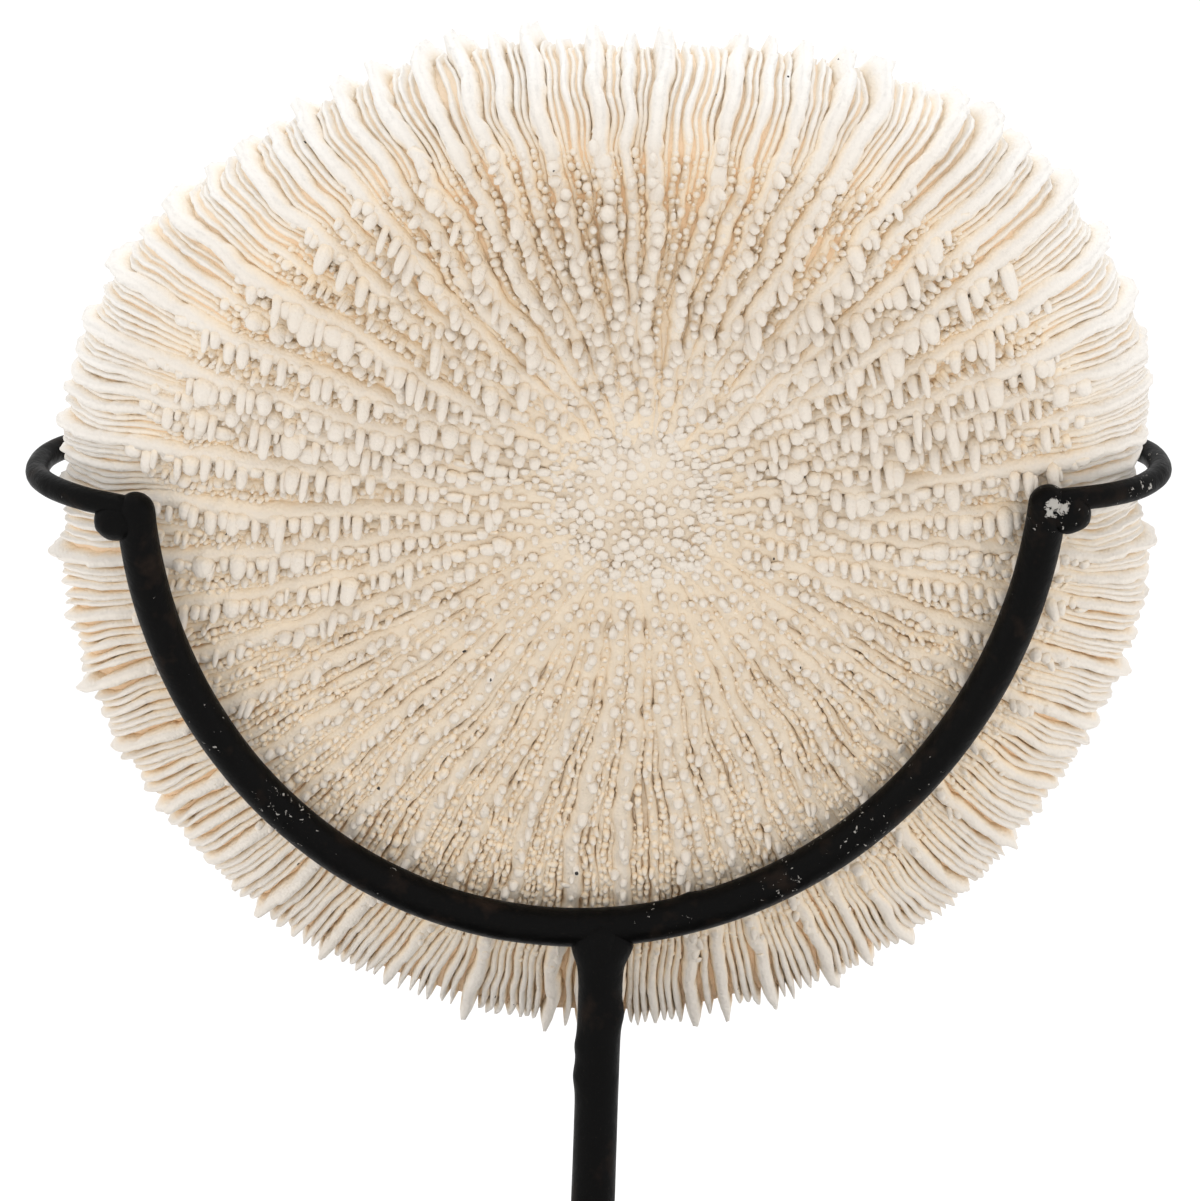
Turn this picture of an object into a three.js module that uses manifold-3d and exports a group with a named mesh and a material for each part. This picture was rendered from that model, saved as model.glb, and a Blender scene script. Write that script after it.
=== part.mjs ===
// A mushroom coral resting in the hooked cradle of its iron rod stand.
// Millimetres, +Z up. The coral's underside and the back of the stand face -Y, with +X to the right.
import * as THREE from "three";
import { mergeVertices } from "three/addons/utils/BufferGeometryUtils.js";
import Module from "manifold-3d";

const wasm = await Module();
wasm.setup();

const radians = THREE.MathUtils.degToRad;

// ---------------------------------------------------------------- driving dimensions

const gap = 0.3; // left between neighbouring pieces
const lean = radians(26); // coral and cradle lean back towards -Y by this much

// Base plate and post
const plateSize = { width: 110, depth: 92, thickness: 6, corner: 7, chamfer: 0.8 };
const postRadius = 3;
const postTop = new THREE.Vector3(2.7, 0, 84.6); // meets the lowest stretch of the cradle
const postFoot = new THREE.Vector3(0, 0, plateSize.thickness);

// Cradle: a rod bent to the lower half of an ellipse, in the leaning plane through the top of the post
const cradle = {
  rodRadius: 2.5,
  halfWidth: 61.4,
  halfHeight: 70.7,
  roll: radians(-5.4), // the rod is bent a little askew
  centreAcross: 1.4,
  centreUp: 70.3, // measured up the leaning plane from the top of the post
  height: 85, // of the plane's lower edge above the ground
  leftEnd: radians(-171.5),
  rightEnd: radians(1),
};

// Hooks: [outwards, up the lean, back] from the cradle's end, round the rim of the coral
const hookRadius = 1.6;
const leftHookRoute = [
  [2.4, -1.2, 0], [7.2, -0.4, 2.4], [11.6, -0.2, 7], [13.8, 0, 12.6],
  [13.2, 0, 18.4], [10.6, 0, 22.6], [7.6, 0, 24.4],
];
const rightHookRoute = [
  [2.2, -1.2, 0], [8, -0.2, 2.2], [12.8, 0, 6.4], [15.6, 0, 12.2],
  [15, 0, 18], [12.4, 0, 21.8], [9.6, 0, 23.6],
];

// Weld beads
const hookBead = { across: 3.6, up: 3.2, back: 3.1, outwards: 2.4, below: 1.2 };
const postBead = { reach: 9, foot: 3.4, waist: 3.5, shoulder: 4.6 };
const baseBead = { radius: 5.2, height: 2.2 };

// Coral: [across, up the lean, back] axes start at the scar in the middle of its underside
const coral = {
  scar: new THREE.Vector3(7.8, -23.9, 144.5),
  ribs: 48, // main ribs, with a lesser one between each two
  columnsPerRib: 4,
  rings: 8, // on each side
  ribReach: 1.3, // main ribs stand this far out of the rim
  ribDepth: 1.6, // from a main rib down to the furrow beside it
  lesserRib: 0.45, // height of a lesser rib, as a share of a main one
};
// Distance from the scar to the rim, every 22.5 degrees, anticlockwise from +X
const rimRadii = [70, 70, 68, 63, 60, 64, 68, 75, 78, 81, 84, 86, 85, 82, 76, 72];
const rimBack = { lower: 8, upper: 10 }; // how far back the rim's edge lies
const bellyDepth = { lower: 12, upper: 22 }; // from the rim's edge forward to the underside
const domeHeight = { lower: 21, upper: 24 }; // from the rim's edge back to the top of the dome
const scarForward = 5.5; // the hollow round the scar lies this far forward
const scarMound = { height: 2.2, radius: 9 };
const hollowReach = 0.42; // share of the radius that the hollow takes
const domeTop = 31;
const domeBlend = 0.5;
const mouth = { length: 15, width: 3.5, depth: 6 }; // the slit in the middle of the dome
// Shallow natural nicks in the rim, where the hooks sit
const nicks = [{ turn: radians(1), depth: 3.4 }, { turn: radians(180), depth: 1.6 }];
const nickWidth = radians(7);

// ---------------------------------------------------------------- materials

const paintedIron = new THREE.MeshStandardMaterial({ color: 0x15130f, roughness: 0.5, metalness: 0.3 });
const coralWhite = new THREE.MeshStandardMaterial({ color: 0xf0e8da, roughness: 0.85, metalness: 0 });

// ---------------------------------------------------------------- helpers

const acrossAxis = new THREE.Vector3(1, 0, 0);
const upAxis = new THREE.Vector3(0, -Math.sin(lean), Math.cos(lean));
const backAxis = new THREE.Vector3(0, Math.cos(lean), Math.sin(lean));

// A point given along the leaning axes, from a start point.
function leaning(start, across, up, back) {
  const point = start.clone().addScaledVector(acrossAxis, across).addScaledVector(upAxis, up);
  return point.addScaledVector(backAxis, back);
}

function smoothStep(x, low, high) {
  return THREE.MathUtils.smoothstep(x, low, high);
}

// The closed solid of a geometry, for cutting.
function toSolid(geometry) {
  const bare = geometry.index ? geometry.toNonIndexed() : geometry.clone();
  bare.deleteAttribute("normal");
  bare.deleteAttribute("uv");
  const merged = mergeVertices(bare, 1e-4);
  const vertProperties = new Float32Array(merged.attributes.position.array);
  const triVerts = new Uint32Array(merged.index.array);
  return new wasm.Manifold(new wasm.Mesh({ numProp: 3, vertProperties, triVerts }));
}

// The geometry of a solid, after cutting.
function toGeometry(solid) {
  const mesh = solid.getMesh();
  const geometry = new THREE.BufferGeometry();
  geometry.setAttribute("position", new THREE.BufferAttribute(new Float32Array(mesh.vertProperties), 3));
  geometry.setIndex(new THREE.BufferAttribute(new Uint32Array(mesh.triVerts), 1));
  geometry.computeVertexNormals();
  return geometry;
}

function roundSection(radius, sides) {
  const corner = (k) => {
    const turn = (2 * Math.PI * k) / sides;
    return new THREE.Vector2(radius * Math.cos(turn), radius * Math.sin(turn));
  };
  return new THREE.Shape(Array.from({ length: sides }, (_, k) => corner(k)));
}

// A round rod bent along a curve.
function bentRod(curve, radius, sides, steps) {
  return new THREE.ExtrudeGeometry(roundSection(radius, sides), {
    steps,
    bevelEnabled: false,
    extrudePath: curve,
  });
}

// A lump of weld metal, longer across than it is up and back.
function lump(centre, across, up, back) {
  const geometry = new THREE.SphereGeometry(1, 14, 10);
  geometry.scale(across, up, back);
  geometry.rotateX(lean);
  geometry.translate(centre.x, centre.y, centre.z);
  return geometry;
}

function part(name, geometry, material) {
  const mesh = new THREE.Mesh(geometry, material);
  mesh.name = name;
  return mesh;
}

// ---------------------------------------------------------------- stand

class CradleCurve extends THREE.Curve {
  constructor(overrun = 0) {
    super();
    this.overrun = overrun; // angle added at both ends
  }

  getPoint(share, target = new THREE.Vector3()) {
    const angle = THREE.MathUtils.lerp(cradle.leftEnd - this.overrun, cradle.rightEnd + this.overrun, share);
    const wide = cradle.halfWidth * Math.cos(angle);
    const high = cradle.halfHeight * Math.sin(angle);
    const across = cradle.centreAcross + wide * Math.cos(cradle.roll) - high * Math.sin(cradle.roll);
    const up = cradle.centreUp + wide * Math.sin(cradle.roll) + high * Math.cos(cradle.roll);
    return target.copy(leaning(new THREE.Vector3(0, 0, cradle.height), across, up, 0));
  }
}

const cradleCurve = new CradleCurve();
const cradleRod = bentRod(cradleCurve, cradle.rodRadius, 10, 60);
const roomForCradle = toSolid(bentRod(new CradleCurve(radians(0.3)), cradle.rodRadius + gap, 10, 60));

function makeBasePlate() {
  const { width, depth, thickness, corner, chamfer } = plateSize;
  const x = width / 2 - chamfer;
  const y = depth / 2 - chamfer;
  const outline = new THREE.Shape();
  outline.moveTo(-x + corner, -y);
  outline.lineTo(x - corner, -y);
  outline.absarc(x - corner, -y + corner, corner, -Math.PI / 2, 0);
  outline.lineTo(x, y - corner);
  outline.absarc(x - corner, y - corner, corner, 0, Math.PI / 2);
  outline.lineTo(-x + corner, y);
  outline.absarc(-x + corner, y - corner, corner, Math.PI / 2, Math.PI);
  outline.lineTo(-x, -y + corner);
  outline.absarc(-x + corner, -y + corner, corner, Math.PI, 1.5 * Math.PI);
  const geometry = new THREE.ExtrudeGeometry(outline, {
    depth: thickness - 2 * chamfer,
    curveSegments: 6,
    bevelThickness: chamfer,
    bevelSize: chamfer,
    bevelSegments: 1,
  });
  return geometry.translate(0, 0, chamfer);
}

// A low collar of weld metal where the post stands on the plate.
function makeBaseBead() {
  const { radius, height } = baseBead;
  const profile = [
    [0, 0], [radius, 0], [radius * 0.96, height * 0.35],
    [radius * 0.82, height * 0.75], [radius * 0.66, height], [0, height],
  ];
  const geometry = new THREE.LatheGeometry(profile.map(([r, z]) => new THREE.Vector2(r, z)), 20);
  geometry.rotateX(Math.PI / 2);
  return geometry.translate(postFoot.x, postFoot.y, postFoot.z + gap);
}

const postLine = new THREE.Vector3().subVectors(postTop, postFoot);
const cylinderAxis = new THREE.Vector3(0, 1, 0);
const postTurn = new THREE.Quaternion().setFromUnitVectors(cylinderAxis, postLine.clone().normalize());

// The bead that joins the post to the cradle: it widens upwards and is hollowed to sit under the rod.
function makePostBead() {
  const { reach, foot, waist, shoulder } = postBead;
  const profile = [
    [0, 0], [foot, 0], [waist, reach * 0.3], [waist * 1.1, reach * 0.55],
    [shoulder, reach * 0.8], [shoulder, reach], [0, reach],
  ];
  const blank = new THREE.LatheGeometry(profile.map(([r, z]) => new THREE.Vector2(r, z)), 20);
  blank.translate(0, -reach, 0);
  blank.applyQuaternion(postTurn);
  blank.translate(postTop.x, postTop.y, postTop.z);
  return toGeometry(toSolid(blank).subtract(roomForCradle));
}

function makePost() {
  const start = baseBead.height + 2 * gap;
  const length = postLine.length() - start - postBead.reach - gap;
  const geometry = new THREE.CylinderGeometry(postRadius, postRadius, length, 24);
  geometry.translate(0, start + length / 2, 0);
  return geometry;
}

function makePostMesh() {
  const mesh = part("post", makePost(), paintedIron);
  mesh.position.copy(postFoot);
  mesh.quaternion.copy(postTurn);
  return mesh;
}

// One hook and the bead that joins it to the cradle's end. side is -1 on the left and 1 on the right.
function makeHook(side, route, end) {
  const points = route.map(([outwards, up, back]) => leaning(end, side * outwards, up, back));
  const curve = new THREE.CatmullRomCurve3(points, false, "centripetal");
  const { across, up, back, outwards, below } = hookBead;
  const centre = leaning(end, side * outwards, -below, 0);
  const bead = toSolid(lump(centre, across, up, back)).subtract(roomForCradle);
  const roomForBead = toSolid(lump(centre, across + gap, up + gap, back + gap));
  const hook = toSolid(bentRod(curve, hookRadius, 8, 20)).subtract(roomForBead).subtract(roomForCradle);
  return { bead: toGeometry(bead), hook: toGeometry(hook) };
}

const leftHook = makeHook(-1, leftHookRoute, cradleCurve.getPoint(0.004));
const rightHook = makeHook(1, rightHookRoute, cradleCurve.getPoint(0.996));

// ---------------------------------------------------------------- coral

// How far the rim is nicked in at a turn.
function nickDepth(turn) {
  const share = (middle) => Math.atan2(Math.sin(turn - middle), Math.cos(turn - middle)) / nickWidth;
  return nicks.reduce((sum, nick) => sum + nick.depth * Math.exp(-(share(nick.turn) ** 2)), 0);
}

// Rim radius at a turn round the scar: a smooth closed curve through rimRadii, less the nicks.
function rimRadius(turn) {
  const count = rimRadii.length;
  const place = ((turn / (2 * Math.PI)) * count + count) % count;
  const k = Math.floor(place);
  const f = place - k;
  const [a, b, c, d] = [-1, 0, 1, 2].map((step) => rimRadii[(k + step + count) % count]);
  const curved = (c - a) * f + (2 * a - 5 * b + 4 * c - d) * f * f + (3 * b - a - 3 * c + d) * f * f * f;
  return b + curved / 2 - nickDepth(turn);
}

// A point of the coral's surface. share runs from 0 at the middle to 1 at the rim, and cut is how far the
// rib pattern takes the surface in. The upper lobe is thicker than the lower one and hangs forward over the
// hollow round the scar.
function coralPoint(turn, share, onDome, cut) {
  const upper = smoothStep(Math.sin(turn), -0.25, 0.75);
  const taken = cut * smoothStep(share, 0.1, 0.5);
  const edge = THREE.MathUtils.lerp(rimBack.lower, rimBack.upper, upper);
  const radius = share * (rimRadius(turn) + coral.ribReach) - taken * share;
  const across = radius * Math.cos(turn);
  const up = radius * Math.sin(turn);
  let back;
  if (onDome) {
    const rise = THREE.MathUtils.lerp(domeHeight.lower, domeHeight.upper, upper);
    const middle = (domeTop - edge - rise) * Math.exp(-((share / domeBlend) ** 2));
    const slit = mouth.depth * Math.exp(-((across / mouth.length) ** 2) - (up / mouth.width) ** 2);
    back = edge + (rise - taken) * Math.sqrt(1 - share ** 2.6) + middle - slit;
  } else {
    const belly = THREE.MathUtils.lerp(bellyDepth.lower, bellyDepth.upper, upper);
    const hollow = (belly - edge - scarForward) * Math.exp(-((share / hollowReach) ** 2));
    const mound = scarMound.height * Math.exp(-((radius / scarMound.radius) ** 2));
    back = edge - (belly - taken) * Math.sqrt(1 - share ** 3) + hollow - mound;
  }
  return leaning(coral.scar, across, up, back);
}

// Main rib, furrow, lesser rib, furrow, and so on round the coral.
function ribCut(column) {
  const place = column % coral.columnsPerRib;
  if (place === 0) return 0;
  return place === 2 ? coral.ribDepth * (1 - coral.lesserRib) : coral.ribDepth;
}

function makeCoral() {
  const columns = coral.ribs * coral.columnsPerRib;
  const ringShare = (k) => Math.sin((Math.PI / 2) * ((k + 1) / coral.rings));
  const shares = Array.from({ length: coral.rings }, (_, k) => ringShare(k));
  const rings = [
    ...shares.map((share) => ({ share, onDome: false })),
    ...shares.slice(0, -1).reverse().map((share) => ({ share, onDome: true })),
  ];
  const points = [coralPoint(0, 0, false, 0)];
  for (const { share, onDome } of rings) {
    for (let column = 0; column < columns; column += 1) {
      points.push(coralPoint((2 * Math.PI * column) / columns, share, onDome, ribCut(column)));
    }
  }
  points.push(coralPoint(0, 0, true, 0));
  const last = points.length - 1;
  const at = (ring, column) => 1 + ring * columns + (column % columns);
  const faces = [];
  for (let column = 0; column < columns; column += 1) {
    faces.push(0, at(0, column), at(0, column + 1));
    for (let ring = 0; ring < rings.length - 1; ring += 1) {
      faces.push(at(ring, column), at(ring + 1, column), at(ring + 1, column + 1));
      faces.push(at(ring, column), at(ring + 1, column + 1), at(ring, column + 1));
    }
    faces.push(at(rings.length - 1, column), last, at(rings.length - 1, column + 1));
  }
  const geometry = new THREE.BufferGeometry();
  geometry.setFromPoints(points);
  geometry.setIndex(faces);
  geometry.computeVertexNormals();
  return geometry;
}

// ---------------------------------------------------------------- the whole object

const stand = new THREE.Group();
stand.add(part("base_plate", makeBasePlate(), paintedIron));
stand.add(part("base_weld", makeBaseBead(), paintedIron));
stand.add(makePostMesh());
stand.add(part("post_weld", makePostBead(), paintedIron));
stand.add(part("cradle", cradleRod, paintedIron));
stand.add(part("left_hook", leftHook.hook, paintedIron));
stand.add(part("left_weld", leftHook.bead, paintedIron));
stand.add(part("right_hook", rightHook.hook, paintedIron));
stand.add(part("right_weld", rightHook.bead, paintedIron));

const object = new THREE.Group();
object.add(stand);
object.add(part("coral", makeCoral(), coralWhite));

export default object;
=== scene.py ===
# %% [markdown]
# # A mushroom coral on its iron stand
#
# The coral is the white skeleton of one large polyp. Some hundreds of thin ribs run out from a scar in the
# middle of its underside, over the rim, and back over the dome to a slit of a mouth. On the underside the ribs
# carry spines and beads; over the rim and the dome they are toothed blades. It rests in a cradle of black rod.
#
# The load-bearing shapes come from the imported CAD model, which is loaded first and never moved.

# %% Load the fixed frame
import math

import bpy
import numpy as np
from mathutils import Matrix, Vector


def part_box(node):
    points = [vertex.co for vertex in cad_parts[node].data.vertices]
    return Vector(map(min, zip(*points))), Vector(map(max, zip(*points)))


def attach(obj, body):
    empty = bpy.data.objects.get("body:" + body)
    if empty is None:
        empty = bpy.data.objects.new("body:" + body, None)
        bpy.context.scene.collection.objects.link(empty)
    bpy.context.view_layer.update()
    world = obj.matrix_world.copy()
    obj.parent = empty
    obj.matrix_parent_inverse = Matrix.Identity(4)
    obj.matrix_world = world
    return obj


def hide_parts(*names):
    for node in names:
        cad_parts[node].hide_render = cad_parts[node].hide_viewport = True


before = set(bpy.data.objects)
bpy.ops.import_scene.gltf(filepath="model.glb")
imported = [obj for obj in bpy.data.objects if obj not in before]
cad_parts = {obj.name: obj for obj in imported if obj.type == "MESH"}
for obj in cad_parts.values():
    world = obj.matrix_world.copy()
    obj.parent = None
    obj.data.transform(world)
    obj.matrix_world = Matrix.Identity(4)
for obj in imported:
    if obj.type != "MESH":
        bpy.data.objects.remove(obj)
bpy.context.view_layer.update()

print("CAD nodes:", ", ".join(sorted(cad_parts)))

# %% [markdown]
# ## Units and axes
#
# All shapes below are worked out in millimetres, because that is how a maker thinks of a shell or a rod, and are
# turned into metres when they become a mesh. Coral and cradle lean back by the same angle, so both are drawn in
# leaning axes: across (left to right), up the lean, and back (from the coral's underside to its dome).

# %% Units and leaning axes
MM = 0.001
LEAN = math.radians(26)
ACROSS = np.array([1.0, 0.0, 0.0])
UP = np.array([0.0, -math.sin(LEAN), math.cos(LEAN)])
BACK = np.array([0.0, math.cos(LEAN), math.sin(LEAN)])


def node_box(node):
    """The lowest and highest corners of a CAD node, in millimetres."""
    low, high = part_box(node)
    return np.array(low) / MM, np.array(high) / MM


def leaning(start, across, up, back):
    """start + across * ACROSS + up * UP + back * BACK, for whole arrays of numbers."""
    steps = np.multiply.outer(across, ACROSS) + np.multiply.outer(up, UP) + np.multiply.outer(back, BACK)
    return start + steps


def unit(vectors):
    """Each vector divided by its length."""
    return vectors / np.maximum(np.linalg.norm(vectors, axis=-1, keepdims=True), 1e-9)


def ease(x, low, high):
    """0 below low, 1 above high, and 3t^2 - 2t^3 between them."""
    t = np.clip((x - low) / (high - low), 0.0, 1.0)
    return t * t * (3.0 - 2.0 * t)


coral_low, coral_high = node_box("coral")
print("coral, mm:", (coral_high - coral_low).round(1))

# %% [markdown]
# ## Camera, light and floor
#
# The camera looks level at the coral's underside from well back, as a long lens does, so that the rim isn't
# swollen. Light comes from a soft panel above, a weaker one in front at each side, and a large one far behind, in a
# white room. The floor is plain and pale.

# %% Camera
VIEW_WIDTH = 164.4  # millimetres across the view, at the post
VIEW_DISTANCE = 1300.0
SENSOR = 36.0
aim = np.array([2.4, 0.0, 129.5])

camera_data = bpy.data.cameras.new("camera")
camera_data.sensor_fit = "HORIZONTAL"
camera_data.sensor_width = SENSOR
camera_data.lens = SENSOR * VIEW_DISTANCE / VIEW_WIDTH
camera_data.clip_start = 0.05
camera_data.clip_end = 50.0
camera = bpy.data.objects.new("camera", camera_data)
camera.location = (aim + (0.0, -VIEW_DISTANCE, 0.0)) * MM
camera.rotation_euler = (math.radians(90), 0.0, 0.0)
bpy.context.scene.collection.objects.link(camera)
bpy.context.scene.camera = camera
print("lens, mm:", round(camera_data.lens, 1))


# %% Lights
def soft_panel(name, place, target, width, height, watts):
    """A rectangular area light at place, in metres, turned to face target."""
    data = bpy.data.lights.new(name, "AREA")
    data.shape = "RECTANGLE"
    data.size, data.size_y = width, height
    data.energy = watts
    panel = bpy.data.objects.new(name, data)
    away = np.array(place) - np.array(target)
    turn = math.atan2(away[0], -away[1])
    tip = math.atan2(math.hypot(away[0], away[1]), away[2])
    panel.location = place
    panel.rotation_euler = (tip, 0.0, turn)
    bpy.context.scene.collection.objects.link(panel)


middle = (0.0, -0.01, 0.14)
soft_panel("panel_above", (0.05, -0.1, 1.1), middle, 1.0, 0.8, 1.6)
soft_panel("panel_left", (-1.1, -0.7, 0.4), middle, 0.6, 0.8, 0.5)
soft_panel("panel_right", (1.1, -0.7, 0.4), middle, 0.6, 0.8, 0.5)
soft_panel("panel_behind", (0.0, 4.0, 3.0), (0.0, 1.5, 0.0), 5.0, 4.0, 15.0)
print("soft panels:", len(bpy.data.lights))

# %% Floor and room
scene = bpy.context.scene
scene.view_settings.view_transform = "Standard"
world = bpy.data.worlds.new("white room")
world.use_nodes = True
world.node_tree.nodes["Background"].inputs["Color"].default_value = (1.0, 1.0, 1.0, 1.0)
world.node_tree.nodes["Background"].inputs["Strength"].default_value = 1.08
scene.world = world

floor_mesh = bpy.data.meshes.new("floor")
FLOOR_SIDE = 30.0
corner = FLOOR_SIDE / 2
floor_mesh.from_pydata(
    [(-corner, -corner, 0), (corner, -corner, 0), (corner, corner, 0), (-corner, corner, 0)], [], [(0, 1, 2, 3)]
)
floor = bpy.data.objects.new("floor", floor_mesh)
scene.collection.objects.link(floor)
print("floor, m:", FLOOR_SIDE)

# %% [markdown]
# ## Meshes from whole arrays
#
# Every new piece is a set of closed tubes: a rod is one long tube, a rib is a thin tube that follows the coral's
# surface, a spine is a short one with a round end. So one helper builds them all, from an array of points shaped
# tubes x rings x points round. It joins neighbouring points into four-sided faces, closes each end with one face,
# turns the whole right side out, and lays the faces out in a map of their own for baking.


# %% Closed tubes from an array of points
def tube_faces(tubes, rings, around):
    """Corner numbers of the side faces (n x 4) and of the end faces (2 * tubes x around)."""
    first = np.arange(tubes)[:, None, None] * rings * around
    ring = first + np.arange(rings - 1)[None, :, None] * around
    here = np.arange(around)[None, None, :]
    after = (here + 1) % around
    sides = np.stack([ring + here, ring + after, ring + around + after, ring + around + here], -1)
    near = first[:, 0] + here[0, :, ::-1]
    far = first[:, 0] + (rings - 1) * around + here[0]
    return sides.reshape(-1, 4), np.stack([near, far], 1).reshape(-1, around)


# %% A map place for every face
def tube_map(tubes, rings, around):
    """Map places for the same faces. Each tube has a cell; its sides fill four fifths of it, its ends the rest."""
    columns = max(1, round(math.sqrt(tubes * around / rings)))
    lines = math.ceil(tubes / columns)
    number = np.arange(tubes)
    cell = np.stack([number % columns, number // columns], -1)[:, None, None, None, :]
    along = np.arange(rings - 1)[None, :, None]
    here = np.arange(around)[None, None, :]
    corners = []
    for step, shift in ((0, 0), (0, 1), (1, 1), (1, 0)):
        u = 0.04 + 0.92 * (along + step) / (rings - 1) + 0.0 * here
        v = 0.04 + 0.74 * (here + shift) / around + 0.0 * along
        corners.append(np.stack([u, v], -1))
    sides = (cell + np.stack(corners, -2)).reshape(-1, 4, 2)
    turn = 2 * math.pi * np.arange(around) / around
    disc = np.stack([np.cos(turn), np.sin(turn)], -1) * (0.16, 0.07)
    ends = np.stack([disc[::-1] + (0.26, 0.89), disc + (0.74, 0.89)])[None]
    ends = (cell[:, 0] + ends).reshape(-1, around, 2)
    size = np.array([columns, lines])
    return sides / size, ends / size


# %% From an array of points to a piece
def signed_volume(points, faces):
    """A sixth of the sum of a . (b x c) over the triangles of a fan in each face."""
    total = 0.0
    for k in range(1, faces.shape[1] - 1):
        a, b, c = points[faces[:, 0]], points[faces[:, k]], points[faces[:, k + 1]]
        total += np.einsum("ij,ij->i", a, np.cross(b, c)).sum() / 6.0
    return total


def tubes_piece(name, points, material, numbers=None, sharp=None, stands_for=()):
    """A riding object from points (tubes x rings x around x 3, in millimetres). numbers are named arrays with
    one number for each point, for the material to read. Edges bent by more than sharp degrees stay crisp."""
    tubes, rings, around = points.shape[:3]
    flat = points.reshape(-1, 3)
    sides, ends = tube_faces(tubes, rings, around)
    side_map, end_map = tube_map(tubes, rings, around)
    if signed_volume(flat, sides) + signed_volume(flat, ends) < 0:
        sides, ends = sides[:, ::-1], ends[:, ::-1]
        side_map, end_map = side_map[:, ::-1], end_map[:, ::-1]
    corners = np.concatenate([sides.ravel(), ends.ravel()])
    starts = np.concatenate([np.arange(len(sides)) * 4, sides.size + np.arange(len(ends)) * around])
    mesh = bpy.data.meshes.new(name)
    mesh.vertices.add(len(flat))
    mesh.vertices.foreach_set("co", (flat * MM).astype(np.float32).ravel())
    mesh.loops.add(len(corners))
    mesh.loops.foreach_set("vertex_index", corners.astype(np.int32))
    mesh.polygons.add(len(starts))
    mesh.polygons.foreach_set("loop_start", starts.astype(np.int32))
    mesh.polygons.foreach_set("use_smooth", np.ones(len(starts), bool))
    mesh.update(calc_edges=True)
    places = np.concatenate([side_map.reshape(-1, 2), end_map.reshape(-1, 2)])
    mesh.uv_layers.new(name="OFBake").uv.foreach_set("vector", places.astype(np.float32).ravel())
    for key, values in (numbers or {}).items():
        held = mesh.attributes.new(key, "FLOAT", "POINT")
        held.data.foreach_set("value", np.broadcast_to(values, points.shape[:3]).astype(np.float32).ravel())
    if sharp is not None:
        mesh.set_sharp_from_angle(angle=math.radians(sharp))
    mesh.materials.append(material)
    piece = bpy.data.objects.new(name, mesh)
    bpy.context.scene.collection.objects.link(piece)
    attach(piece, "root")
    if stands_for:
        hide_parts(*stands_for)
    triangles = 2 * len(sides) + (around - 2) * len(ends)
    print(f"{name}: {tubes} tubes, {triangles} triangles")
    return piece


# %% [markdown]
# ## Natural unevenness
#
# Nothing that grew is regular. `lumps` gives smooth random numbers that depend only on where a point is, so
# neighbouring ribs wander together and never cross. It is value noise: random numbers on a lattice, blended with
# smooth steps. A fixed seed gives the same coral each time.


# %% Smooth random numbers
def lumps(points, size, seed):
    """Numbers from -1 to 1 that change smoothly over about one size."""
    table = np.random.default_rng(seed).uniform(-1.0, 1.0, 8192)
    place = np.asarray(points) / size
    cell = np.floor(place).astype(np.int64)
    part = place - cell
    part = part * part * (3.0 - 2.0 * part)
    total = 0.0
    for corner in np.ndindex(2, 2, 2):
        mixed = (cell + corner) * np.array([7919, 104729, 1299709])
        key = (mixed[..., 0] ^ mixed[..., 1] ^ mixed[..., 2]) % 8192
        total = total + table[key] * np.where(corner, part, 1.0 - part).prod(-1)
    return total


print("lumps 0 and 5 mm along:", lumps([[0, 0, 0], [5, 0, 0]], 6.0, 1).round(2))


# %% [markdown]
# ## The coral's large shape
#
# The body is a thick disc that leans back. Its upper lobe is fuller than the lower one and hangs forward over a
# hollow round the scar, where a low mound marks the stalk that the young coral stood on. One function gives every
# point: `turn` is the angle round the scar, `travel` runs from 0 at the scar through 1 at the rim to 2 at the
# mouth, and `sink` is how deep below the spine tips the point lies. With sink 0 it is the CAD solid's surface.

# %% Large shape of the coral
SCAR = (coral_low + coral_high) / 2 + (4.0, -12.1, 6.5)
RIM_RADII = np.array([70, 70, 68, 63, 60, 64, 68, 75, 78, 81, 84, 86, 85, 82, 76, 72], float)
RIB_REACH = 1.3  # the ribs stand this far out of the rim
NICKS = ((math.radians(-1), 3.4), (math.radians(182.5), 1.6))  # where the hooks sit
NICK_WIDTH = math.radians(7)
SCAR_FORWARD, DOME_TOP = 5.5, 31.0
MOUND_HEIGHT, MOUND_RADIUS = 2.2, 9.0
MOUTH_LENGTH, MOUTH_WIDTH, MOUTH_DEPTH = 15.0, 3.5, 6.0


def rim_radius(turn):
    """Distance from the scar to the rim: a smooth closed curve through RIM_RADII, less the nicks."""
    count = len(RIM_RADII)
    place = np.mod(turn / (2 * math.pi) * count, count)
    k = np.floor(place).astype(int)
    f = place - k
    a, b, c, d = (RIM_RADII[(k + step) % count] for step in (-1, 0, 1, 2))
    curved = (c - a) * f + (2 * a - 5 * b + 4 * c - d) * f**2 + (3 * b - a - 3 * c + d) * f**3
    nicks = sum(
        depth * np.exp(-(np.arctan2(np.sin(turn - at), np.cos(turn - at)) / NICK_WIDTH) ** 2) for at, depth in NICKS
    )
    return b + curved / 2 - nicks


print("rim to rim across, mm:", round(float(rim_radius(0.0) + rim_radius(math.pi)), 1))


# %% Any point of the coral
def upper_lobe(turn):
    """0 in the lower lobe, 1 in the upper one."""
    return ease(np.sin(turn), -0.25, 0.75)


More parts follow.
